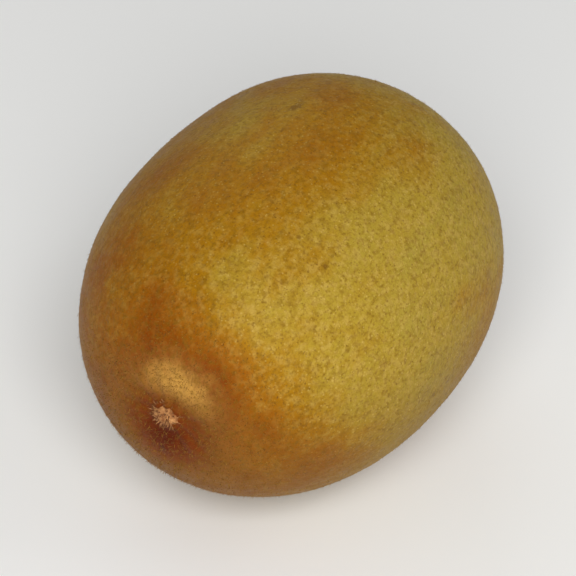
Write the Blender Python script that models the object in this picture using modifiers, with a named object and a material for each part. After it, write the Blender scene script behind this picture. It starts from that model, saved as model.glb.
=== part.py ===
"""A whole, smooth-skinned kiwi fruit, as picked, lying on its side on a small flat spot.

The fruit is turned upright first, with its blossom end down and its stem end up, because it grows round
that axis. It is then pressed a little out of round, laid along X and settled on its flat spot.

Metres, +Z up. The origin is under the middle of the fruit, on the surface that it rests on. The stem end
points to +X and the blossom end to -X.
"""

import math

import bmesh
import bpy
from mathutils import Matrix, Vector

# Driving dimensions of the fruit, in metres
LENGTH = 0.0660
WIDTH = 0.0526
HEIGHT = 0.0508

# How full the two halves are: 1 is a plain ellipse, and less is more like a barrel
BLOSSOM_FULLNESS = 0.945
STEM_FULLNESS = 0.855
# The widest place lies this share of the half length towards the stem end
WIDEST_AT = 0.05

# Blossom end: a shallow dimple with the dried bases of the styles in a small crown
BLOSSOM_DIMPLE_WIDTH = 0.0062
BLOSSOM_DIMPLE_DEPTH = 0.0016
CROWN_RADIUS = 0.00155
CROWN_WIDTH = 0.00065
CROWN_HEIGHT = 0.00090
CROWN_STYLES = 7
CROWN_NOTCH = 0.40

# Stem end: a wider dimple with a round corky scar and the dried remains of the sepals round it
STEM_DIMPLE_WIDTH = 0.0068
STEM_DIMPLE_DEPTH = 0.0020
SCAR_RADIUS = 0.0021
SCAR_LIP_WIDTH = 0.0006
SCAR_LIP_HEIGHT = 0.0007
SEPAL_LENGTHS = (0.0036, 0.0027, 0.0033, 0.0021, 0.0030)
SEPAL_WIDTH = 0.0031
SEPAL_THICKNESS = 0.0006
SEPAL_EDGE = 0.0008
SEPAL_TURN = math.radians(17)

# Skin drawn in faint folds towards the dimples
FOLD_HEIGHT = 0.00009
FOLD_REACH = 0.0032
BLOSSOM_FOLDS = 10
BLOSSOM_FOLD_RADIUS = 0.0048
STEM_FOLDS = 7
STEM_FOLD_RADIUS = 0.0070

# How far the fruit is out of round: waves round its girth (waves, share of the radius, start in degrees,
# half waves along half its length), which fade out near its axis, and a slight bend of its axis
GIRTH_WAVES = (
    (2, 0.0070, 20, 0.5),
    (3, 0.0085, 75, 0.3),
    (4, 0.0030, 10, 1.0),
    (5, 0.0024, 140, 0.7),
)
WAVES_FADE_RADIUS = 0.0130
BEND = 0.00045

# The flat spot that it rests on is a slice this deep
FLAT_SPOT_DEPTH = 0.00042

# Fineness of the solid
SEGMENTS = 64
BODY_RINGS = 32
END_RINGS = 13
END_RING_STEP = 0.00046
MERGE_DISTANCE = 0.00001
SHARP_ANGLE = math.radians(50)

SKIN_COLOUR = (0.40, 0.26, 0.045, 1.0)
SKIN_ROUGHNESS = 0.55


def remove_everything():
    """Empty the scene, so that the script gives the same model wherever it is run."""
    for thing in list(bpy.data.objects):
        bpy.data.objects.remove(thing, do_unlink=True)


def skin_material():
    """Satin, golden-olive skin."""
    material = bpy.data.materials.new("kiwi_skin")
    material.use_nodes = True
    shader = material.node_tree.nodes["Principled BSDF"]
    shader.inputs["Base Color"].default_value = SKIN_COLOUR
    shader.inputs["Roughness"].default_value = SKIN_ROUGHNESS
    shader.inputs["Metallic"].default_value = 0.0
    material.diffuse_color = SKIN_COLOUR
    return material


def smooth_step(value):
    """0 below 0, 1 above 1, and an even slope without corners between."""
    value = min(max(value, 0.0), 1.0)
    return value * value * (3.0 - 2.0 * value)


def bell(distance, width):
    """A rounded bump of height 1 that has died away at 2.5 widths."""
    return math.exp(-(distance / width) ** 2)


def signed_power(value, power):
    """The power of the value's size, with the value's own sign."""
    return math.copysign(abs(value) ** power, value)


def body_outline(angle):
    """Radius and height of the plain fruit, from the stem pole (angle 0) to the blossom pole (pi)."""
    half_length = LENGTH / 2
    widest = half_length * WIDEST_AT
    if angle < math.pi / 2:
        fullness = STEM_FULLNESS
        reach = half_length - widest
    else:
        fullness = BLOSSOM_FULLNESS
        reach = half_length + widest
    radius = WIDTH / 2 * abs(math.sin(angle)) ** fullness
    height = widest + reach * signed_power(math.cos(angle), fullness)
    return radius, height


def end_angle(radius, fullness):
    """The outline's angle, counted from the pole, where the plain fruit has this radius."""
    return math.asin((radius / (WIDTH / 2)) ** (1 / fullness))


def profile_angles():
    """Fine steps where the dimples and their details are, and even ones along the body."""
    ring_radii = [END_RING_STEP * count for count in range(END_RINGS + 1)]
    stem_side = [end_angle(radius, STEM_FULLNESS) for radius in ring_radii]
    blossom_side = [math.pi - end_angle(radius, BLOSSOM_FULLNESS) for radius in reversed(ring_radii)]
    body_step = (blossom_side[0] - stem_side[-1]) / BODY_RINGS
    body = [stem_side[-1] + body_step * count for count in range(1, BODY_RINGS)]
    return stem_side + body + blossom_side


def turned_body(name):
    """The plain fruit, upright: half its outline, turned round its axis."""
    points = [body_outline(angle) for angle in profile_angles()]
    profile = bpy.data.meshes.new(name)
    vertices = [(radius, 0.0, height) for radius, height in points]
    edges = [(count, count + 1) for count in range(len(points) - 1)]
    profile.from_pydata(vertices, edges, [])
    turned = bpy.data.objects.new(name, profile)
    bpy.context.scene.collection.objects.link(turned)

    screw = turned.modifiers.new("turn", "SCREW")
    screw.axis = "Z"
    screw.steps = SEGMENTS
    screw.render_steps = SEGMENTS
    screw.use_merge_vertices = True
    screw.merge_threshold = MERGE_DISTANCE

    graph = bpy.context.evaluated_depsgraph_get()
    mesh = bpy.data.meshes.new_from_object(turned.evaluated_get(graph))
    bpy.data.objects.remove(turned, do_unlink=True)
    return mesh


def sepal_relief(radius, around):
    """Height of the dried sepals: uneven flaps that lie flat round the scar."""
    spacing = 2 * math.pi / len(SEPAL_LENGTHS)
    turned = (around - SEPAL_TURN + spacing / 2) % (2 * math.pi)
    which, from_middle = divmod(turned, spacing)
    length = SEPAL_LENGTHS[int(which) % len(SEPAL_LENGTHS)]
    along = (radius - SCAR_RADIUS) / length
    if along < 0.0 or along > 1.0:
        return 0.0
    half_width = SEPAL_WIDTH / 2 * (1.0 - along ** 3)
    sideways = abs(from_middle - spacing / 2) * radius
    inside = smooth_step((half_width - sideways) / SEPAL_EDGE + 0.5)
    return SEPAL_THICKNESS * inside * smooth_step((1.0 - along) * length / SEPAL_EDGE)


def stem_end_relief(radius, around):
    """How far the skin at the stem end stands out from the plain body, along the axis."""
    dimple = -STEM_DIMPLE_DEPTH * bell(radius, STEM_DIMPLE_WIDTH)
    lip = SCAR_LIP_HEIGHT * bell(radius - SCAR_RADIUS, SCAR_LIP_WIDTH)
    folds = math.cos(STEM_FOLDS * around) * bell(radius - STEM_FOLD_RADIUS, FOLD_REACH)
    return dimple + lip + FOLD_HEIGHT * folds + sepal_relief(radius, around)


def blossom_end_relief(radius, around):
    """How far the skin at the blossom end stands out from the plain body, along the axis."""
    dimple = -BLOSSOM_DIMPLE_DEPTH * bell(radius, BLOSSOM_DIMPLE_WIDTH)
    styles = 1.0 - CROWN_NOTCH * (0.5 + 0.5 * math.cos(CROWN_STYLES * around))
    crown = CROWN_HEIGHT * styles * bell(radius - CROWN_RADIUS, CROWN_WIDTH)
    folds = math.cos(BLOSSOM_FOLDS * around) * bell(radius - BLOSSOM_FOLD_RADIUS, FOLD_REACH)
    return dimple + crown + FOLD_HEIGHT * folds


def shape_skin(mesh):
    """Dimples, scar, sepals and crown at the ends, and the body pressed slightly out of round."""
    for vertex in mesh.vertices:
        x, y, z = vertex.co
        radius = math.hypot(x, y)
        around = math.atan2(y, x)
        if z > 0:
            z_new = z + stem_end_relief(radius, around)
        else:
            z_new = z - blossom_end_relief(radius, around)

        along = z / (LENGTH / 2)
        fade = smooth_step(radius / WAVES_FADE_RADIUS)
        swell = 1.0
        for waves, share, start, lengthwise in GIRTH_WAVES:
            phase = waves * around + math.radians(start) + lengthwise * math.pi * along
            swell += share * fade * math.cos(phase)
        x_new = x * swell * HEIGHT / WIDTH + BEND * (1.0 - 2.0 * along ** 2)
        y_new = y * swell
        vertex.co = (x_new, y_new, z_new)


def lay_on_side(mesh):
    """Turn the stem end from +Z to +X."""
    mesh.transform(Matrix.Rotation(math.radians(90), 4, "Y"))


def corners(mesh):
    """Lowest and highest corners of the mesh."""
    low = Vector(min(vertex.co[axis] for vertex in mesh.vertices) for axis in range(3))
    high = Vector(max(vertex.co[axis] for vertex in mesh.vertices) for axis in range(3))
    return low, high


def slice_flat_spot(mesh):
    """Slice off the lowest FLAT_SPOT_DEPTH and close the cut with one flat face."""
    low, _ = corners(mesh)
    cut_height = low.z + FLAT_SPOT_DEPTH
    shape = bmesh.new()
    shape.from_mesh(mesh)
    bmesh.ops.bisect_plane(
        shape,
        geom=shape.verts[:] + shape.edges[:] + shape.faces[:],
        dist=MERGE_DISTANCE,
        plane_co=(0.0, 0.0, cut_height),
        plane_no=(0.0, 0.0, -1.0),
        clear_outer=True,
    )
    rim = [edge for edge in shape.edges if edge.is_boundary]
    bmesh.ops.edgeloop_fill(shape, edges=rim)
    bmesh.ops.recalc_face_normals(shape, faces=shape.faces)
    shape.to_mesh(mesh)
    shape.free()


def settle_on_origin(mesh):
    """Put the middle of the fruit's box over the origin, with its flat spot at height 0."""
    low, high = corners(mesh)
    middle = (low + high) / 2
    mesh.transform(Matrix.Translation((-middle.x, -middle.y, -low.z)))


def build_fruit(collection):
    """The whole fruit as one solid, in the given collection."""
    mesh = turned_body("kiwi_fruit")
    shape_skin(mesh)
    lay_on_side(mesh)
    slice_flat_spot(mesh)
    settle_on_origin(mesh)
    mesh.materials.clear()
    mesh.materials.append(skin_material())
    mesh.shade_smooth()
    mesh.set_sharp_from_angle(angle=SHARP_ANGLE)
    fruit = bpy.data.objects.new("kiwi_fruit", mesh)
    collection.objects.link(fruit)


def main():
    remove_everything()
    collection = bpy.data.collections.new("kiwi_fruit")
    bpy.context.scene.collection.children.link(collection)
    build_fruit(collection)


main()
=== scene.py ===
"""The looks of a whole, smooth-skinned kiwi fruit that lies on its side.

The fine skin is drawn onto the solid fruit. On it grow the dried styles at the blossom end, the corky scar
and the dried sepals at the stem end, and short fine hairs. Metres, +Z up, blossom end to -X.
"""

import math

import bpy
import numpy as np
from mathutils import Matrix, Vector, noise
from mathutils.bvhtree import BVHTree


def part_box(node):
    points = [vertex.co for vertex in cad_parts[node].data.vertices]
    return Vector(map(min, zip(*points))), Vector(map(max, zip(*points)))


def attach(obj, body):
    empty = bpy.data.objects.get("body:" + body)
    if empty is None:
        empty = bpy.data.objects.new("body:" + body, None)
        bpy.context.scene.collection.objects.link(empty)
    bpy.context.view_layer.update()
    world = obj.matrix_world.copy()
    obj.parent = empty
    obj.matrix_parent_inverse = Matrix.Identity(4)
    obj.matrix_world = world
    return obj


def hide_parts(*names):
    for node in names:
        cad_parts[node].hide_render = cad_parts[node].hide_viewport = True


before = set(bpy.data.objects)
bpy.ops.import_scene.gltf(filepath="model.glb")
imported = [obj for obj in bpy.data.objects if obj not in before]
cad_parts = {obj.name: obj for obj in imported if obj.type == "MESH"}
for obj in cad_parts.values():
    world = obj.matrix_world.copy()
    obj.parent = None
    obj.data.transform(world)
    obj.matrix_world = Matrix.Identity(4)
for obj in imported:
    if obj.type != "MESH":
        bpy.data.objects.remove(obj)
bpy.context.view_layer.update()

MM = 0.001
# Rays that look for the surface start this far out along X, clear of the fruit
RAY_START = 50 * MM

# Form of the skin
SKIN_FINENESS = 7
PATTERN_FINENESS = 2
MERGE_DISTANCE = 0.01 * MM
QUAD_BEND = math.radians(40)
QUAD_SKEW = math.radians(75)
# Size and depth of the soft dents and of the fine grain
SKIN_DENTS = (13 * MM, 0.30 * MM)
SKIN_GRAIN = (0.9 * MM, 0.045 * MM)

# Furrows in the skin round the blossom dimple
PUCKER_COUNT = 17
PUCKER_DEPTH = 0.20 * MM
PUCKER_RADIUS = 4.6 * MM
PUCKER_REACH = 2.6 * MM
PUCKER_WAVE = 1.4 * MM

# Ground colours of the skin, from its greenest to its reddest
GROUND_COLOURS = (
    (0.00, "A28E36"),
    (0.25, "A68A2C"),
    (0.45, "9E6E0C"),
    (0.65, "935608"),
    (0.85, "7A3604"),
    (1.00, "621C02"),
)
# What lies over the ground colour
SKIN_COLOURS = {
    # paler ring round the blossom dimple, partly a painted highlight
    "pale rim and highlight": "CC9848",
    "scuff": "5F3A0E",
    "pale fleck": "C2A24C",
    "tan mottle": "BE9E50",
    "dark fleck": "785010",
    "grain": "74540E",
    "fine grain": "6C4A0C",
    "russet net": "7A5014",
    # painted shade low on the fruit
    "painted shade below": "6E4A08",
    "stain": "74340E",
    "dark of the stain and shade": "4C0E02",
    "scar ring": "6E4012",
    # darkest red below the nub, partly painted shade
    "small dot": "5C3A0E",
    "large dot": "5A340E",
    "pale dot": "C9A95A",
}
SHEEN_COLOUR = "D8A860"
SHINE_COLOUR = "FFD68C"

# Warmer and greener places: measured from, place, radius where it begins and is full, change of warmth
# Centre of the painted shade that browns and darkens the top of the fruit
SHADED_TOP = (-2 * MM, 8 * MM, 48 * MM)
# The first row is painted shade on the top; the third and fourth, browner round the blossom end, reach on as
# painted shade to its left and below it.
WARM_AND_SHADED_PLACES = (
    ("origin", SHADED_TOP, 34 * MM, 10 * MM, 0.20),
    ("origin", (-13 * MM, -19 * MM, 38 * MM), 26 * MM, 6 * MM, -0.10),
    ("blossom", (0.0, 11 * MM, 2 * MM), 27 * MM, 12 * MM, 0.33),
    ("blossom", (0.0, -6 * MM, -6 * MM), 27 * MM, 10 * MM, 0.48),
    ("stem", (0.0, 0.0, 0.0), 21 * MM, 6 * MM, 0.34),
)
# How far the edges of broad places and of small ones wander
BROAD_WANDER = 7.5 * MM
FINE_WANDER = 5 * MM
# Places near the blossom end, from its pole
STAIN_SHIFT = Vector((0.0, 0.1 * MM, -2.8 * MM))
# Centre of the darkest red, below the nub, partly painted shade
STAIN_DARK_AND_SHADE_SHIFT = Vector((0.0, 0.5 * MM, -3.6 * MM))
# Centre of the pale ring's painted highlight, above the nub
PALE_RIM_HIGHLIGHT_SHIFT = Vector((0.8 * MM, -1.8 * MM, 5.8 * MM))
STAIN_RADIUS = 7.5 * MM
SHOULDER_RADIUS = 8.6 * MM
SCAR_RING_RADIUS = 6.5 * MM
# Heights between which painted shade turns the skin browner and darker towards the bottom
SHADE_BELOW_BEGINS = 38 * MM
SHADE_BELOW_FULL = 12 * MM
# Sizes of the cells that hold one dot each, and of the russet net's cells
SMALL_DOT_CELL = 0.52 * MM
LARGE_DOT_CELL = 4.6 * MM
PALE_DOT_CELL = 0.5 * MM
NET_CELL = 0.8 * MM
# Corky scuffs: place, reach, and how much each direction counts
SCUFFS = (
    ((7.1 * MM, 2.9 * MM, 50 * MM), 1.5 * MM, (0.8, 1.3, 1.0)),
    ((-4.0 * MM, -25.0 * MM, 21 * MM), 1.1 * MM, (0.5, 1.0, 1.2)),
    ((15.0 * MM, -20.0 * MM, 36 * MM), 0.9 * MM, (1.0, 1.0, 0.7)),
    ((12.0 * MM, 23.0 * MM, 30 * MM), 2.0 * MM, (0.5, 1.0, 1.0)),
    ((-19.0 * MM, 17.0 * MM, 13 * MM), 1.2 * MM, (1.0, 1.0, 1.0)),
)

# Dried styles on their nub at the blossom end
NUB_RADIUS = 2.05 * MM
NUB_HEIGHT = 1.45 * MM
NUB_FLATNESS = 0.68
# Size and depth of its lumps and of its crust
NUB_LUMPS = (0.9 * MM, 0.38 * MM)
NUB_CRUST = (0.25 * MM, 0.24 * MM)
NUB_COLOURS = ("8A542A", "CC945C")
STYLE_SEED = 5
STYLE_COUNT = 64
STYLE_LENGTH = 1.0 * MM
STYLE_THICKNESS = 0.11 * MM
STYLE_TAPER = 0.45
# Least and most of what differs from style to style: millimetres from the axis, lean for each of them,
# shares of the length and of the thickness, and bend
STYLE_RING = (0.5, 2.1)
STYLE_LEANS = (0.1, 1.0)
STYLE_LENGTHS = (0.4, 1.05)
STYLE_THICKNESSES = (0.7, 1.15)
STYLE_BENDS = (-0.2, 0.7)
# How many places round the ring a style strays from its own
STYLE_SCATTER = 0.9
STYLE_CUTS = (0.25, 0.5, 0.75)
STYLE_DROOP = 0.4
STYLE_ROOT = 0.15 * MM
STYLE_COLOURS = ("6A3E1E", "C08A58")

# Scar at the stem end, from its rim inwards: radius, and rise above what is outside it, in millimetres
SCAR_STEPS = (
    (2.65, -0.20),
    (2.45, 0.34),
    (2.15, 0.26),
    (1.90, 0.02),
    (1.65, -0.42),
    (1.35, -0.34),
    (1.05, 0.20),
    (0.75, 0.14),
    (0.50, -0.20),
    (0.25, -0.14),
)
SCAR_DEPTH = 0.9 * MM
SCAR_RADIUS = 2.65 * MM
SCAR_SEAT_RADIUS = 2.3 * MM
# Size and depth of its lumps and of its crust
SCAR_LUMPS = (2.0 * MM, 0.50 * MM)
SCAR_CRUST = (0.6 * MM, 0.24 * MM)
SCAR_COLOURS = (
    (0.00, "9C7A50"),
    (0.22, "8C6A42"),
    (0.38, "482C18"),
    (0.56, "382010"),
    (0.72, "7C5C38"),
    (0.88, "8E6E46"),
    (1.00, "563820"),
)

# Sepals: length and width in millimetres, turn round the scar in degrees, curl, and share that is left
SEPALS = (
    (3.8, 3.1, 163, 0.16, 1.00),
    (3.6, 2.7, 98, 0.06, 0.62),
    (3.9, 3.4, 22, 0.20, 0.90),
    (3.0, 2.9, -53, 0.04, 0.55),
    (3.5, 2.5, -118, 0.12, 0.84),
)
SEPAL_THICKNESS = 0.14 * MM
SEPAL_ROOT_RADIUS = 2.0 * MM
SEPAL_CLEARANCE = 0.10 * MM
SEPAL_EDGE_CURL = 1.3 * MM
SEPAL_CRINKLE = 0.14 * MM
SEPAL_COLOURS = ("35200F", "8A6036")

# Hairs
HAIR_SEED = 11
BODY_HAIRS = 30000
BODY_HAIR_LENGTH = 0.30 * MM
BODY_HAIR_LEAN = 1.7
END_HAIRS = 6500
END_HAIR_LENGTH = 0.50 * MM
BLOSSOM_HAIR_EXTRA = 0.25 * MM
END_HAIR_LEAN = 1.1
HAIR_THICKNESS = 0.024 * MM
LOWEST_HAIR = 0.8 * MM
SHORTER_HAIRS_BELOW = 3 * MM
HAIR_SPREAD = 0.55
# Least and most of what differs from hair to hair, as shares of the lean and of the length
HAIR_LEANS = (0.6, 1.3)
HAIR_LENGTHS = (0.5, 1.2)
# The knee of a bent hair: its share of the length and of the thickness
KNEE_AT = 0.55
KNEE_THICKNESS = 0.7
HAIR_COLOURS = ("80541A", "B68A34")

# Camera, light and floor
VIEW_AZIMUTH = -60
VIEW_ELEVATION = 38
VIEW_DISTANCE = 0.52
FRUIT_WIDTH_IN_VIEW = 58 * MM
FRUIT_SHARE_OF_FRAME = 0.74
SENSOR_WIDTH = 36
WORLD_BRIGHTNESS = 0.22
FLOOR_SIZE = 4.0
FLOOR_DROP = 0.02 * MM
FLOOR_COLOUR = "FAFAF8"
# Name, azimuth from the view, elevation, distance, size and power of each soft light
LIGHTS = (
    ("key", 2, 38, 0.8, 0.5, 6.1),
    ("fill", 95, 30, 0.9, 0.6, 1.0),
    ("back", 200, 34, 0.9, 0.7, 1.1),
)


def colour(hex_code):
    """A linear colour from the way it looks on a screen."""
    channels = []
    for start in (0, 2, 4):
        value = int(hex_code[start:start + 2], 16) / 255
        linear = value / 12.92 if value <= 0.04045 else ((value + 0.055) / 1.055) ** 2.4
        channels.append(linear)
    return (*channels, 1.0)


def direction(azimuth, elevation):
    """The way from the fruit to a viewer or a light, with azimuth 0 in front, at -Y."""
    turn, rise = math.radians(azimuth), math.radians(elevation)
    return Vector((math.sin(turn) * math.cos(rise), -math.cos(turn) * math.cos(rise), math.sin(rise)))


def pick(thing):
    """Select this object alone, and make it the active one."""
    bpy.ops.object.select_all(action="DESELECT")
    thing.select_set(True)
    bpy.context.view_layer.objects.active = thing


def apply_place(thing):
    """Move the object's place, turn and scale into its mesh."""
    pick(thing)
    bpy.ops.object.transform_apply(location=True, rotation=True, scale=True)


def shape_with(thing, kind, **settings):
    """Add a modifier, set it and apply it."""
    modifier = thing.modifiers.new(kind.lower(), kind)
    for name, value in settings.items():
        setattr(modifier, name, value)
    pick(thing)
    bpy.ops.object.modifier_apply(modifier=modifier.name)


def roughen(thing, name, size, depth, detail=1):
    """Push the surface in and out by soft noise of this size."""
    texture = bpy.data.textures.new(name, "CLOUDS")
    texture.noise_scale = size
    texture.noise_depth = detail
    shape_with(thing, "DISPLACE", texture=texture, strength=depth, mid_level=0.5, texture_coords="LOCAL")


def select_faces(thing, wanted):
    """Go into edit mode with only the wanted faces selected."""
    for edge in thing.data.edges:
        edge.select = False
    for vertex in thing.data.vertices:
        vertex.select = False
    for face in thing.data.polygons:
        face.select = wanted(face)
        if face.select:
            for vertex in face.vertices:
                thing.data.vertices[vertex].select = True
    pick(thing)
    bpy.ops.object.mode_set(mode="EDIT")
    bpy.ops.mesh.select_mode(type="FACE")


def points_of(mesh):
    """The mesh's points, as rows of x, y and z."""
    flat = np.empty(len(mesh.vertices) * 3)
    mesh.vertices.foreach_get("co", flat)
    return flat.reshape(-1, 3)


def set_points(mesh, points):
    mesh.vertices.foreach_set("co", points.ravel())
    mesh.update()


def surface_tree(thing):
    """The object's surface, ready to have rays cast on it."""
    mesh = thing.data
    return BVHTree.FromPolygons([v.co for v in mesh.vertices], [p.vertices[:] for p in mesh.polygons])


def joined(pieces):
    """All the pieces as one, with their faces outwards."""
    bpy.ops.object.select_all(action="DESELECT")
    for piece in pieces:
        piece.select_set(True)
    bpy.context.view_layer.objects.active = pieces[0]
    bpy.ops.object.join()
    pick(pieces[0])
    bpy.ops.object.mode_set(mode="EDIT")
    bpy.ops.mesh.select_all(action="SELECT")
    bpy.ops.mesh.normals_make_consistent(inside=False)
    bpy.ops.object.mode_set(mode="OBJECT")
    return pieces[0]


def finish_piece(piece, name, material):
    """Name the piece, give it its material, and let it lie with the fruit."""
    piece.name = name
    piece.data.name = name
    piece.data.materials.clear()
    piece.data.materials.append(material)
    piece.data.shade_smooth()
    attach(piece, "root")
    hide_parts("kiwi_fruit")


# Materials
class Paint:
    """Short names for the nodes of one material."""

    def __init__(self, name):
        self.material = bpy.data.materials.new(name)
        self.material.use_nodes = True
        self.tree = self.material.node_tree
        self.shader = self.tree.nodes["Principled BSDF"]
        self.place = self.add("ShaderNodeTexCoord").outputs["Object"]

    def add(self, kind, **settings):
        """A new node with these settings."""
        node = self.tree.nodes.new(kind)
        for name, value in settings.items():
            setattr(node, name, value)
        return node

    def feed(self, socket, value):
        """Link another node's output to the socket, or set it to a plain value."""
        if isinstance(value, bpy.types.NodeSocket):
            self.tree.links.new(value, socket)
        else:
            socket.default_value = value

    def stretched(self, scale, centre=(0, 0, 0)):
        """The place on the piece, moved to a centre and stretched."""
        node = self.add("ShaderNodeMapping", vector_type="POINT")
        self.feed(node.inputs["Vector"], self.place)
        node.inputs["Location"].default_value = [-middle * by for middle, by in zip(centre, scale)]
        node.inputs["Scale"].default_value = scale
        return node.outputs["Vector"]

    def warped(self, size, reach):
        """The place, pushed about by noise of this size, so that round shapes turn uneven."""
        push = self.add("ShaderNodeTexNoise")
        self.feed(push.inputs["Vector"], self.place)
        push.inputs["Scale"].default_value = 1 / size
        centred = self.add("ShaderNodeVectorMath", operation="SUBTRACT")
        self.feed(centred.inputs[0], push.outputs["Color"])
        centred.inputs[1].default_value = (0.5, 0.5, 0.5)
        pushed = self.add("ShaderNodeVectorMath", operation="MULTIPLY_ADD")
        self.feed(pushed.inputs[0], centred.outputs["Vector"])
        pushed.inputs[1].default_value = (reach, reach, reach)
        self.feed(pushed.inputs[2], self.place)
        return pushed.outputs["Vector"]

    def cloud(self, size, detail=3.0, roughness=0.55, place=None):
        """Soft noise from 0 to 1, with features of this size."""
        node = self.add("ShaderNodeTexNoise")
        self.feed(node.inputs["Vector"], place or self.place)
        node.inputs["Scale"].default_value = 1 / size
        node.inputs["Detail"].default_value = detail
        node.inputs["Roughness"].default_value = roughness
        return node.outputs["Fac"]

    def cells(self, size, place=None):
        """Distance to the nearest cell point, and two random values of that cell's own."""
        node = self.add("ShaderNodeTexVoronoi")
        self.feed(node.inputs["Vector"], place or self.place)
        node.inputs["Scale"].default_value = 1 / size
        node.inputs["Randomness"].default_value = 1.0
        split = self.add("ShaderNodeSeparateColor")
        self.feed(split.inputs["Color"], node.outputs["Color"])
        return node.outputs["Distance"], split.outputs["Red"], split.outputs["Green"]

    def cell_edges(self, size, place=None):
        """How near the place is to the border between two cells: 0 on the border."""
        node = self.add("ShaderNodeTexVoronoi", feature="DISTANCE_TO_EDGE")
        self.feed(node.inputs["Vector"], place or self.place)
        node.inputs["Scale"].default_value = 1 / size
        return node.outputs["Distance"]

    def distance_from(self, centre, weights=(1, 1, 1)):
        """How far the place is from a centre, in metres, with each direction weighed."""
        node = self.add("ShaderNodeVectorMath", operation="LENGTH")
        self.feed(node.inputs[0], self.stretched(weights, centre))
        return node.outputs["Value"]

    def maths(self, operation, first, second=0.0):
        """One sum on two values."""
        node = self.add("ShaderNodeMath", operation=operation)
        self.feed(node.inputs[0], first)
        self.feed(node.inputs[1], second)
        return node.outputs[0]

    def plus(self, first, second):
        return self.maths("ADD", first, second)

    def minus(self, first, second):
        return self.maths("SUBTRACT", first, second)

    def times(self, first, second):
        return self.maths("MULTIPLY", first, second)

    def between(self, value, low, high, to_low=0.0, to_high=1.0):
        """Map low..high to to_low..to_high, smoothly, and hold it there outside."""
        node = self.add("ShaderNodeMapRange", interpolation_type="SMOOTHSTEP")
        self.feed(node.inputs["Value"], value)
        self.feed(node.inputs["From Min"], low)
        self.feed(node.inputs["From Max"], high)
        self.feed(node.inputs["To Min"], to_low)
        self.feed(node.inputs["To Max"], to_high)
        return node.outputs["Result"]

    def ramp(self, value, stops):
        """Blend through colours that stand at these places from 0 to 1."""
        node = self.add("ShaderNodeValToRGB")
        self.feed(node.inputs["Fac"], value)
        elements = node.color_ramp.elements
        while len(elements) < len(stops):
            elements.new(0.5)
        for element, (place, hex_code) in zip(elements, stops):
            element.position = place
            element.color = colour(hex_code)
        return node.outputs["Color"]

    def mix(self, share, first, second):
        """The first colour, with this share of the second over it."""
        node = self.add("ShaderNodeMix", data_type="RGBA", blend_type="MIX")
        self.feed(node.inputs[0], share)
        self.feed(node.inputs[6], first)
        self.feed(node.inputs[7], second)
        return node.outputs[2]

    def bump(self, height, depth, under=None, strength=1.0):
        """Fine relief, on top of the relief under it."""
        node = self.add("ShaderNodeBump")
        node.inputs["Strength"].default_value = strength
        node.inputs["Distance"].default_value = depth
        self.feed(node.inputs["Height"], height)
        if under is not None:
            self.feed(node.inputs["Normal"], under)
        return node.outputs["Normal"]

    def surface(self, base, roughness, normal, **fixed):
        """Link what varies to the shader, set what is the same all over, and give the material."""
        self.feed(self.shader.inputs["Base Color"], base)
        self.feed(self.shader.inputs["Roughness"], roughness)
        self.feed(self.shader.inputs["Normal"], normal)
        for name, value in fixed.items():
            self.shader.inputs[name.replace("_", " ")].default_value = value
        return self.material


class SkinPaint(Paint):
    """The skin's colour as it is built up, and the patterns that its layers share."""

    def __init__(self):
        super().__init__("kiwi_skin")
        self.patch = self.cloud(8 * MM, 3.0, place=self.stretched((0.6, 1.0, 1.0), (0.2, 0.1, 0.3)))
        self.fleck = self.cloud(2.0 * MM, 4.0, 0.62)
        self.grain = self.cloud(0.9 * MM, 2.0, 0.5)
        self.fine = self.cloud(0.45 * MM, 3.0, 0.6)
        self.ragged = self.times(self.minus(self.patch, 0.5), BROAD_WANDER)
        self.ragged_fine = self.times(self.minus(self.fleck, 0.5), FINE_WANDER)
        self.base = None

    def broadly_from(self, centre):
        """Distance from a centre, with a broad, ragged edge."""
        return self.plus(self.distance_from(centre), self.ragged)

    def finely_from(self, centre, weights=(1, 1, 1)):
        """Distance from a centre, with a finely ragged edge."""
        return self.plus(self.distance_from(centre, weights), self.ragged_fine)

    def cover(self, share, layer):
        """Lay a share of this layer's colour over the skin."""
        self.base = self.mix(share, self.base, colour(SKIN_COLOURS[layer]))

    def dots(self, size, place, growth, edge, middle, strength):
        """Dots, one to a cell, each with a size and strength of its own, fading from middle to edge."""
        distance, own_size, own_tone = self.cells(size, place)
        shape = self.between(self.minus(distance, self.times(own_size, growth)), edge, middle)
        return self.times(shape, self.between(own_tone, *strength))


def warmth_and_painted_shade(skin, blossom, stem):
    """How warm the ground colour is: 0 is greenish, 1 is brick red. It also holds painted shade on the top,
    on the left of the blossom end and below it.
    """
    broad = skin.cloud(22 * MM, 2.0)
    streak = skin.cloud(2.4 * MM, 3.0, 0.6, place=skin.stretched((0.14, 1.0, 1.0)))
    warmth_and_shade = skin.between(broad, 0.30, 0.70, 0.12, 0.34)
    warmth_and_shade = skin.plus(warmth_and_shade, skin.between(skin.patch, 0.34, 0.68, -0.05, 0.08))
    warmth_and_shade = skin.plus(warmth_and_shade, skin.between(streak, 0.30, 0.72, -0.02, 0.06))
    starts = {"origin": Vector((0, 0, 0)), "blossom": blossom, "stem": stem}
    for start, shift, begins, full, change in WARM_AND_SHADED_PLACES:
        away = skin.broadly_from(starts[start] + Vector(shift))
        warmth_and_shade = skin.plus(warmth_and_shade, skin.between(away, begins, full, 0.0, change))
    return warmth_and_shade


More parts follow.
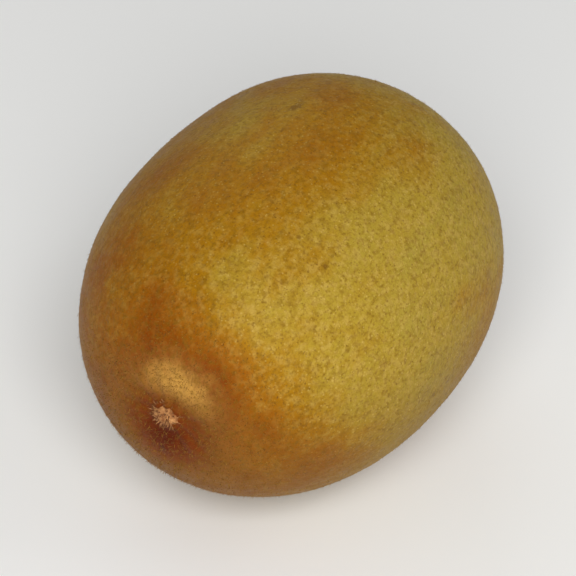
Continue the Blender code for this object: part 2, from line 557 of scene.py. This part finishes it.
def paint_pale_rim_and_highlight(skin, blossom, to_stain):
    """A paler ring round the blossom dimple, partly its own paler colour and partly a painted highlight where
    it faces up, lightest above it.
    """
    off_rim = skin.maths("ABSOLUTE", skin.minus(to_stain, SHOULDER_RADIUS))
    share = skin.between(skin.finely_from(blossom + PALE_RIM_HIGHLIGHT_SHIFT), 8 * MM, 0.5 * MM, 0.18, 0.95)
    skin.cover(skin.times(share, skin.between(off_rim, 5.5 * MM, 0.0)), "pale rim and highlight")


def paint_scuffs(skin):
    """A few small corky scuffs."""
    for place, reach, weights in SCUFFS:
        away = skin.finely_from(place, weights)
        skin.cover(skin.between(away, reach, 0.35 * reach, 0.0, 0.6), "scuff")


def paint_flecks(skin, golden):
    """Pale and dark flecks, a tan mottle, grain and a faint russet net."""
    pale = skin.between(skin.fleck, 0.53, 0.74, 0.0, 0.30)
    skin.cover(skin.times(pale, golden), "pale fleck")
    mottle = skin.cloud(0.95 * MM, 2.0, 0.5, place=skin.stretched((1, 1, 1), (0.3, 0.2, 0.1)))
    tan = skin.times(skin.between(mottle, 0.42, 0.70, 0.0, 0.42), golden)
    # The tan mottle fades towards the top, under the painted shade there.
    to_shaded_top = skin.broadly_from(SHADED_TOP)
    tan = skin.times(tan, skin.between(to_shaded_top, 8 * MM, 28 * MM, 0.45, 1.0))
    skin.cover(tan, "tan mottle")
    skin.cover(skin.between(skin.fleck, 0.47, 0.28, 0.0, 0.32), "dark fleck")
    skin.cover(skin.between(skin.grain, 0.48, 0.70, 0.0, 0.36), "grain")
    skin.cover(skin.between(skin.fine, 0.50, 0.72, 0.0, 0.34), "fine grain")
    net = skin.cell_edges(NET_CELL, skin.warped(0.5 * MM, 0.4 * MM))
    skin.cover(skin.between(net, 0.10, 0.0, 0.0, 0.20), "russet net")


def paint_shade_below(skin, to_stain):
    """Painted shade: browner and darker towards the bottom, but not in the stain."""
    height = skin.add("ShaderNodeSeparateXYZ")
    skin.feed(height.inputs["Vector"], skin.place)
    ragged_height = skin.plus(height.outputs["Z"], skin.ragged)
    under = skin.between(ragged_height, SHADE_BELOW_BEGINS, SHADE_BELOW_FULL, 0.0, 0.50)
    skin.cover(skin.times(under, skin.between(to_stain, 3 * MM, 9 * MM)), "painted shade below")


def paint_ends(skin, blossom, stem, to_stain):
    """A brick-red stain round the nub, darkest below it where painted shade deepens it, and a russet ring
    round the scar.
    """
    skin.cover(skin.between(to_stain, STAIN_RADIUS, 2.0 * MM, 0.0, 0.72), "stain")
    # Below the nub the stain turns darker red, partly painted shade.
    to_dark = skin.finely_from(blossom + STAIN_DARK_AND_SHADE_SHIFT)
    skin.cover(skin.between(to_dark, 4.6 * MM, 0.8 * MM, 0.0, 0.80), "dark of the stain and shade")
    to_scar = skin.finely_from(stem)
    skin.cover(skin.between(to_scar, SCAR_RING_RADIUS, 2.5 * MM, 0.0, 0.6), "scar ring")


def paint_dots(skin, golden, to_stain):
    """Dense little dots, a few larger ones and pale ones. Gives the little dots, which are also pits."""
    uneven = skin.warped(0.30 * MM, 0.16 * MM)
    small = skin.dots(SMALL_DOT_CELL, uneven, 0.12, 0.26, 0.06, (0.1, 0.95, 0.04, 0.44))
    small = skin.times(small, skin.between(to_stain, 2 * MM, 8 * MM, 0.3, 1.0))
    skin.cover(small, "small dot")
    uneven = skin.warped(0.9 * MM, 0.35 * MM)
    large = skin.dots(LARGE_DOT_CELL, uneven, 0.04, 0.075, 0.02, (0.60, 0.98, 0.0, 0.55))
    skin.cover(large, "large dot")
    elsewhere = skin.stretched((1, 1, 1), (0.05, 0.02, 0.01))
    pale = skin.dots(PALE_DOT_CELL, elsewhere, 0.0, 0.36, 0.08, (0.35, 0.9, 0.0, 0.50))
    skin.cover(skin.times(pale, golden), "pale dot")
    return small


def skin_paint(blossom, stem):
    """Satin golden-olive skin: mottled, finely speckled, browner to the ends, brick red round the nub, with
    painted shade on the top and low down and a painted highlight on the rim of the blossom dimple.
    """
    skin = SkinPaint()
    warmth_and_shade = warmth_and_painted_shade(skin, blossom, stem)
    golden = skin.between(warmth_and_shade, 0.95, 0.25)
    to_stain = skin.finely_from(blossom + STAIN_SHIFT)
    skin.base = skin.ramp(warmth_and_shade, GROUND_COLOURS)
    paint_pale_rim_and_highlight(skin, blossom, to_stain)
    paint_scuffs(skin)
    paint_flecks(skin, golden)
    paint_shade_below(skin, to_stain)
    paint_ends(skin, blossom, stem, to_stain)
    pits = paint_dots(skin, golden, to_stain)

    rough = skin.between(skin.fleck, 0.3, 0.7, 0.46, 0.60)
    normal = skin.bump(skin.fine, 0.09 * MM, strength=0.6)
    normal = skin.bump(skin.grain, 0.10 * MM, under=normal, strength=0.6)
    normal = skin.bump(pits, -0.07 * MM, under=normal, strength=0.6)
    return skin.surface(
        skin.base, rough, normal,
        Sheen_Weight=0.04, Sheen_Roughness=0.4, Sheen_Tint=colour(SHEEN_COLOUR),
        Specular_IOR_Level=0.17, Specular_Tint=colour(SHINE_COLOUR),
    )


def dry_paint(name, colours, size):
    """Dry, corky plant remains: dull, uneven brown."""
    dark, light = colours
    paint = Paint(name)
    mottle = paint.cloud(size, 4.0, 0.65)
    grain = paint.cloud(size / 5, 3.0, 0.6)
    base = paint.mix(paint.between(mottle, 0.35, 0.68), colour(dark), colour(light))
    base = paint.mix(paint.between(grain, 0.55, 0.7, 0.0, 0.5), base, colour(dark))
    rough = paint.between(mottle, 0.3, 0.7, 0.72, 0.92)
    normal = paint.bump(grain, 0.06 * MM, strength=0.7)
    return paint.surface(base, rough, normal, Specular_IOR_Level=0.25)


def scar_paint(stem):
    """The cut end of the stalk: a pale corky lip, a dark sunken ring and a pale fibrous middle."""
    paint = Paint("stem_scar")
    crumb = paint.cloud(0.35 * MM, 3.0, 0.6)
    mottle = paint.cloud(1.2 * MM, 2.0)
    ragged = paint.times(paint.minus(crumb, 0.5), 1.4 * MM)
    mostly_across = (0.2, 1.0, 1.0)
    from_axis = paint.plus(paint.distance_from(stem, mostly_across), ragged)
    base = paint.ramp(paint.maths("DIVIDE", from_axis, SCAR_RADIUS), SCAR_COLOURS)
    base = paint.mix(paint.between(mottle, 0.45, 0.70, 0.0, 0.5), base, colour("5A3A20"))
    base = paint.mix(paint.between(crumb, 0.55, 0.75, 0.0, 0.6), base, colour("2E1A0C"))
    rough = paint.between(mottle, 0.3, 0.7, 0.75, 0.92)
    normal = paint.bump(crumb, 0.10 * MM, strength=0.8)
    return paint.surface(base, rough, normal, Specular_IOR_Level=0.25)


def hair_paint():
    """Fine light brown hairs, paler and darker from place to place."""
    dark, light = HAIR_COLOURS
    paint = Paint("skin_hairs")
    tone = paint.cloud(0.5 * MM, 2.0)
    base = paint.mix(paint.between(tone, 0.35, 0.65), colour(dark), colour(light))
    rough = paint.between(tone, 0.3, 0.7, 0.5, 0.65)
    normal = paint.bump(tone, 0.005 * MM, strength=0.2)
    return paint.surface(base, rough, normal, Specular_IOR_Level=0.35)


# Skin
def solid_pattern():
    """The solid fruit's surface, merged and smoothed, and the places of its two poles."""
    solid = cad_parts["kiwi_fruit"]
    pattern = bpy.data.objects.new("skin_pattern", solid.data.copy())
    bpy.context.scene.collection.objects.link(pattern)
    pick(pattern)
    bpy.ops.object.mode_set(mode="EDIT")
    bpy.ops.mesh.select_all(action="SELECT")
    bpy.ops.mesh.remove_doubles(threshold=MERGE_DISTANCE)
    bpy.ops.mesh.tris_convert_to_quads(face_threshold=QUAD_BEND, shape_threshold=QUAD_SKEW)
    bpy.ops.object.mode_set(mode="OBJECT")

    # The poles are the two points where the most edges meet
    edges_at = np.zeros(len(pattern.data.vertices), int)
    for edge in pattern.data.edges:
        for vertex in edge.vertices:
            edges_at[vertex] += 1
    busiest = sorted(np.argsort(edges_at)[-2:], key=lambda index: pattern.data.vertices[index].co.x)
    blossom, stem = [pattern.data.vertices[index].co.copy() for index in busiest]
    shape_with(pattern, "SUBSURF", levels=PATTERN_FINENESS, render_levels=PATTERN_FINENESS)
    return pattern, blossom, stem


def drawn_on_skin(pattern):
    """An even, fine mesh drawn onto the pattern: a cube rounded to an egg and shrunk on."""
    low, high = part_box("kiwi_fruit")
    bpy.ops.object.select_all(action="DESELECT")
    bpy.ops.mesh.primitive_cube_add(size=2.0)
    skin = bpy.context.object
    shape_with(skin, "SUBSURF", levels=SKIN_FINENESS, render_levels=SKIN_FINENESS)
    shape_with(skin, "CAST", cast_type="SPHERE", factor=1.0, use_radius_as_size=False, size=1.0)
    skin.scale = (high - low) / 2
    skin.location = (high + low) / 2
    apply_place(skin)
    shape_with(
        skin, "SHRINKWRAP", target=pattern, wrap_method="PROJECT",
        use_negative_direction=True, use_positive_direction=True,
    )
    return skin


def pucker(points, pole):
    """Fine furrows in the skin that wander a little as they run into the blossom dimple."""
    away = points - np.array(pole)
    radius = np.hypot(away[:, 1], away[:, 2])
    around = np.arctan2(away[:, 1], away[:, 2])
    near = np.exp(-((radius - PUCKER_RADIUS) / PUCKER_REACH) ** 2) * (points[:, 0] < 0)
    wander = 0.8 * np.sin(2 * around + 0.7) + 0.5 * np.sin(5 * around + radius / PUCKER_WAVE)
    furrows = np.abs(np.sin(PUCKER_COUNT / 2 * around + wander)) ** 0.7 - 0.6
    points[:, 0] -= PUCKER_DEPTH * near * furrows


def make_skin(pattern, blossom, stem):
    """The whole skin, puckered, dented and grained, and flat where it rests."""
    skin = drawn_on_skin(pattern)
    points = points_of(skin.data)
    pucker(points, blossom)
    set_points(skin.data, points)
    roughen(skin, "skin_dents", *SKIN_DENTS, detail=2)
    roughen(skin, "skin_grain", *SKIN_GRAIN)

    points = points_of(skin.data)
    points[:, 2] = np.maximum(points[:, 2], 0.0)
    set_points(skin.data, points)
    finish_piece(skin, "kiwi_skin", skin_paint(blossom, stem))
    return skin


# Blossom end
def place_on_end(tree, pole, side, around, radius):
    """The point of the surface at a place round the pole, or None; side is -1 or 1 along X."""
    across = radius * math.sin(around)
    up = radius * math.cos(around)
    start = Vector((side * RAY_START, pole.y + across, pole.z + up))
    point, _, _, _ = tree.ray_cast(start, Vector((-side, 0, 0)))
    return point


def make_nub(tree, pole):
    """The low, rough cushion that the dried styles stand on."""
    bpy.ops.object.select_all(action="DESELECT")
    bpy.ops.mesh.primitive_uv_sphere_add(segments=32, ring_count=18, radius=1.0)
    nub = bpy.context.object
    nub.scale = (NUB_HEIGHT, NUB_RADIUS, NUB_RADIUS * NUB_FLATNESS)
    nub.location = place_on_end(tree, pole, -1, 0.0, 0.0)
    apply_place(nub)
    shape_with(nub, "SUBSURF", levels=2, render_levels=2)
    roughen(nub, "nub_lumps", *NUB_LUMPS)
    roughen(nub, "nub_crust", *NUB_CRUST)
    finish_piece(nub, "style_nub", dry_paint("style_nub", NUB_COLOURS, 0.9 * MM))
    return nub


def one_style(length, thickness, bend):
    """A dried style: a thin tapering stalk along +Z that bends over towards +X."""
    bpy.ops.object.select_all(action="DESELECT")
    bpy.ops.mesh.primitive_cone_add(
        vertices=6, radius1=thickness, radius2=thickness * STYLE_TAPER, depth=length,
        location=(0, 0, length / 2),
    )
    style = bpy.context.object
    apply_place(style)
    bpy.ops.object.mode_set(mode="EDIT")
    for share in STYLE_CUTS:
        bpy.ops.mesh.select_all(action="SELECT")
        bpy.ops.mesh.bisect(plane_co=(0, 0, length * share), plane_no=(0, 0, 1))
    bpy.ops.object.mode_set(mode="OBJECT")
    points = points_of(style.data)
    along = points[:, 2] / length
    points[:, 0] += bend * length * along ** 2
    points[:, 2] -= STYLE_DROOP * abs(bend) * length * along ** 3
    set_points(style.data, points)
    return style


def make_styles(tree, nub, pole):
    """The dried styles, in an untidy tuft on and round the nub."""
    rng = np.random.default_rng(STYLE_SEED)
    nub_tree = surface_tree(nub)
    styles = []
    for count in range(STYLE_COUNT):
        around = 2 * math.pi * (count + rng.uniform(-STYLE_SCATTER, STYLE_SCATTER)) / STYLE_COUNT
        radius = rng.uniform(*STYLE_RING) * MM
        point = place_on_end(nub_tree, pole, -1, around, radius)
        if point is None:
            point = place_on_end(tree, pole, -1, around, radius)
        length = STYLE_LENGTH * rng.uniform(*STYLE_LENGTHS)
        thickness = STYLE_THICKNESS * rng.uniform(*STYLE_THICKNESSES)
        style = one_style(length, thickness, rng.uniform(*STYLE_BENDS))
        outward = Vector((0, math.sin(around), math.cos(around)))
        lean = rng.uniform(*STYLE_LEANS) * radius / MM
        upright = (Vector((-1, 0, 0)) + outward * lean).normalized()
        sideways = upright.cross(outward).normalized()
        across = sideways.cross(upright)
        turn = Matrix((across, sideways, upright)).transposed().to_4x4()
        style.data.transform(Matrix.Translation(point - upright * STYLE_ROOT) @ turn)
        styles.append(style)
    paint = dry_paint("dried_styles", STYLE_COLOURS, 0.8 * MM)
    finish_piece(joined(styles), "dried_styles", paint)


# Stem end
def make_scar(tree, pole):
    """The corky scar of the stalk: a low lip round a sunken, fibrous disc."""
    outer_radius, start_height = SCAR_STEPS[0]
    face_place = place_on_end(tree, pole, 1, 0.0, SCAR_SEAT_RADIUS).x + start_height * MM
    bpy.ops.object.select_all(action="DESELECT")
    bpy.ops.mesh.primitive_cylinder_add(
        vertices=48, radius=outer_radius * MM, depth=SCAR_DEPTH, rotation=(0, math.radians(90), 0),
        location=(face_place - SCAR_DEPTH / 2, pole.y, pole.z),
    )
    scar = bpy.context.object
    apply_place(scar)
    select_faces(scar, lambda face: face.normal.x > 0.9)
    for (outer, _), (inner, rise) in zip(SCAR_STEPS, SCAR_STEPS[1:]):
        bpy.ops.mesh.inset(thickness=(outer - inner) * MM)
        bpy.ops.transform.translate(value=(rise * MM, 0, 0))
    bpy.ops.object.mode_set(mode="OBJECT")
    shape_with(scar, "SUBSURF", levels=3, render_levels=3)
    roughen(scar, "scar_lumps", *SCAR_LUMPS)
    roughen(scar, "scar_crust", *SCAR_CRUST, detail=3)
    finish_piece(scar, "stem_scar", scar_paint(pole))


def one_sepal(length, width, curl, left):
    """A dried sepal, flat in the YZ plane: its root at the origin, its tip along +Z, curling to +X."""
    bpy.ops.object.select_all(action="DESELECT")
    bpy.ops.mesh.primitive_grid_add(x_subdivisions=16, y_subdivisions=20, size=1.0)
    sepal = bpy.context.object
    points = points_of(sepal.data)
    across = points[:, 0].copy()
    along = (points[:, 1] + 0.5) * left
    ragged = np.array([noise.noise(Vector((a * 3, b * 4, length * 9000))) for a, b in zip(across, along)])
    torn = np.array([noise.noise(Vector((a * 9, length * 7000, 0.5))) for a in across])
    taper = width * (0.92 - 0.70 * along ** 2.4) * (1.0 + 0.30 * ragged)
    pointed = 1.0 - 0.35 * np.abs(across)
    points[:, 0] = curl * length * along ** 3 + SEPAL_EDGE_CURL * across ** 2 * along + SEPAL_CRINKLE * ragged
    points[:, 1] = across * taper + 0.12 * width * ragged * along
    points[:, 2] = along * length * pointed * (1.0 + 0.20 * ragged + 0.25 * torn * along)
    set_points(sepal.data, points)
    return sepal


def press_on(mesh, tree, pole):
    """Lay a flat piece on the skin round the pole, just clear of it."""
    points = points_of(mesh)
    for point in points:
        start = Vector((RAY_START, pole.y + point[1], pole.z + point[2]))
        ground, _, _, _ = tree.ray_cast(start, Vector((-1, 0, 0)))
        point[:] = (ground.x + point[0] + SEPAL_CLEARANCE, start.y, start.z)
    set_points(mesh, points)


def make_sepals(tree, pole):
    """Five dried sepals pressed round the scar, each of its own length and curl."""
    sepals = []
    for length, width, degrees, curl, left in SEPALS:
        sepal = one_sepal(length * MM, width * MM, curl, left)
        around = math.radians(degrees)
        root = Vector((0, math.sin(around), math.cos(around))) * SEPAL_ROOT_RADIUS
        sepal.data.transform(Matrix.Translation(root) @ Matrix.Rotation(-around, 4, "X"))
        press_on(sepal.data, tree, pole)
        shape_with(sepal, "SOLIDIFY", thickness=SEPAL_THICKNESS, offset=0.0)
        sepals.append(sepal)
    ring = joined(sepals)
    shape_with(ring, "SUBSURF", levels=1, render_levels=1)
    finish_piece(ring, "sepals", dry_paint("sepals", SEPAL_COLOURS, 1.6 * MM))


# Hairs
def hair_roots(skin, blossom, stem, count, chance_of, rng):
    """Places on the skin, spread by chance_of, with the outward direction and the distances to the ends."""
    mesh = skin.data
    total = len(mesh.polygons)
    centres = np.empty(total * 3)
    normals = np.empty(total * 3)
    areas = np.empty(total)
    mesh.polygons.foreach_get("center", centres)
    mesh.polygons.foreach_get("normal", normals)
    mesh.polygons.foreach_get("area", areas)
    centres, normals = centres.reshape(-1, 3), normals.reshape(-1, 3)
    near = np.linalg.norm(centres - np.array(blossom), axis=1)
    far = np.linalg.norm(centres - np.array(stem), axis=1)
    chance = areas * chance_of(near, far) * (centres[:, 2] > LOWEST_HAIR)
    chosen = rng.choice(total, size=count, p=chance / chance.sum())
    out = normals[chosen]
    shift = rng.uniform(-0.5, 0.5, (count, 3)) * np.sqrt(areas[chosen])[:, None]
    shift -= out * (shift * out).sum(1)[:, None]
    return centres[chosen] + shift, out, near[chosen], far[chosen]


def unit(vectors):
    """Each row at length 1."""
    return vectors / np.linalg.norm(vectors, axis=1)[:, None]


def three_corners(centre, side, front, radius):
    """Three corners round each centre."""
    turns = np.radians((0, 120, 240))
    return [centre + radius * (side * math.cos(turn) + front * math.sin(turn)) for turn in turns]


def make_hair_piece(name, skin, blossom, stem, count, chance_of, length_of, lean, bent, seed, material):
    """Hairs as slim three-sided spikes with their roots in the skin; bent ones have a knee."""
    rng = np.random.default_rng(seed)
    root, out, near, far = hair_roots(skin, blossom, stem, count, chance_of, rng)
    drift = np.array((-1.0, 0.0, 0.0)) + rng.normal(0, HAIR_SPREAD, (count, 3))
    drift = unit(drift - out * (drift * out).sum(1)[:, None])
    grow = unit(out + drift * (lean * rng.uniform(*HAIR_LEANS, count))[:, None])
    length = length_of(near, far) * rng.uniform(*HAIR_LENGTHS, count)
    length = (length * np.clip(root[:, 2] / SHORTER_HAIRS_BELOW, 0.3, 1.0))[:, None]
    side = unit(np.cross(grow, drift))
    front = np.cross(grow, side)

    corners = three_corners(root - out * HAIR_THICKNESS, side, front, HAIR_THICKNESS)
    faces_of_one = [(2, 1, 0)]
    if bent:
        knee = root + (grow * KNEE_AT - drift * 0.05) * length
        corners += three_corners(knee, side, front, KNEE_THICKNESS * HAIR_THICKNESS)
        faces_of_one += [(0, 1, 4, 3), (1, 2, 5, 4), (2, 0, 3, 5)]
        faces_of_one += [(3, 4, 6), (4, 5, 6), (5, 3, 6)]
    else:
        faces_of_one += [(0, 1, 3), (1, 2, 3), (2, 0, 3)]
    corners.append(root + (grow + drift * (0.15 if bent else 0.0)) * length)
    points = np.stack(corners, axis=1).reshape(-1, 3)
    faces = []
    for start in range(0, len(points), len(corners)):
        for face in faces_of_one:
            faces.append([start + corner for corner in face])
    mesh = bpy.data.meshes.new(name)
    mesh.from_pydata(points.tolist(), [], faces)
    hairs = bpy.data.objects.new(name, mesh)
    bpy.context.scene.collection.objects.link(hairs)
    finish_piece(hairs, name, material)


def fading(distance, reach):
    """1 at the place itself, dying away as a bell."""
    return np.exp(-(distance / reach) ** 2)


def make_hairs(skin, blossom, stem):
    """Sparse, very short down on the body, and a denser, longer fringe round the two ends."""
    material = hair_paint()
    make_hair_piece(
        "body_hairs", skin, blossom, stem, BODY_HAIRS,
        lambda near, far: np.ones_like(near),
        lambda near, far: np.full_like(near, BODY_HAIR_LENGTH),
        BODY_HAIR_LEAN, False, HAIR_SEED, material,
    )
    make_hair_piece(
        "end_hairs", skin, blossom, stem, END_HAIRS,
        lambda near, far: (
            fading(near, 12 * MM) * (1.0 - 0.9 * fading(near, 5 * MM)) + 0.8 * fading(far, 9 * MM)
        ),
        lambda near, far: END_HAIR_LENGTH + BLOSSOM_HAIR_EXTRA * fading(near, 7 * MM),
        END_HAIR_LEAN, True, HAIR_SEED + 1, material,
    )


# Stage
def make_floor():
    """A plain pale floor."""
    bpy.ops.object.select_all(action="DESELECT")
    bpy.ops.mesh.primitive_plane_add(size=FLOOR_SIZE, location=(0, 0, -FLOOR_DROP))
    floor = bpy.context.object
    floor.name = "floor"
    paint = Paint("pale_floor")
    paint.feed(paint.shader.inputs["Base Color"], colour(FLOOR_COLOUR))
    paint.feed(paint.shader.inputs["Roughness"], 0.7)
    floor.data.materials.append(paint.material)


def aim_at_fruit(thing, azimuth, elevation, distance):
    """Put a lamp or camera at this direction and distance from the fruit, looking at its middle."""
    low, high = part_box("kiwi_fruit")
    back = direction(azimuth, elevation)
    thing.location = (low + high) / 2 + back * distance
    thing.rotation_euler = back.to_track_quat("Z", "Y").to_euler()
    bpy.context.scene.collection.objects.link(thing)


def make_light():
    """A white surrounding and three square soft lights."""
    world = bpy.data.worlds.new("studio")
    world.use_nodes = True
    background = world.node_tree.nodes["Background"]
    background.inputs["Color"].default_value = (1.0, 1.0, 1.0, 1.0)
    background.inputs["Strength"].default_value = WORLD_BRIGHTNESS
    bpy.context.scene.world = world
    for name, azimuth, elevation, distance, size, power in LIGHTS:
        lamp = bpy.data.lights.new(name, "AREA")
        lamp.size = size
        lamp.energy = power
        aim_at_fruit(bpy.data.objects.new(name, lamp), VIEW_AZIMUTH + azimuth, elevation, distance)
    bpy.context.scene.view_settings.view_transform = "Standard"


def make_camera():
    """The photograph's view, with the fruit filling its share of the frame."""
    lens = bpy.data.cameras.new("camera")
    lens.sensor_width = SENSOR_WIDTH
    lens.lens = SENSOR_WIDTH * VIEW_DISTANCE / (FRUIT_WIDTH_IN_VIEW / FRUIT_SHARE_OF_FRAME)
    camera = bpy.data.objects.new("camera", lens)
    aim_at_fruit(camera, VIEW_AZIMUTH, VIEW_ELEVATION, VIEW_DISTANCE)
    bpy.context.scene.camera = camera


def main():
    make_camera()
    pattern, blossom, stem = solid_pattern()
    skin = make_skin(pattern, blossom, stem)
    bpy.data.objects.remove(pattern, do_unlink=True)
    tree = surface_tree(skin)
    nub = make_nub(tree, blossom)
    make_styles(tree, nub, blossom)
    make_scar(tree, stem)
    make_sepals(tree, stem)
    make_hairs(skin, blossom, stem)
    make_floor()
    make_light()


main()
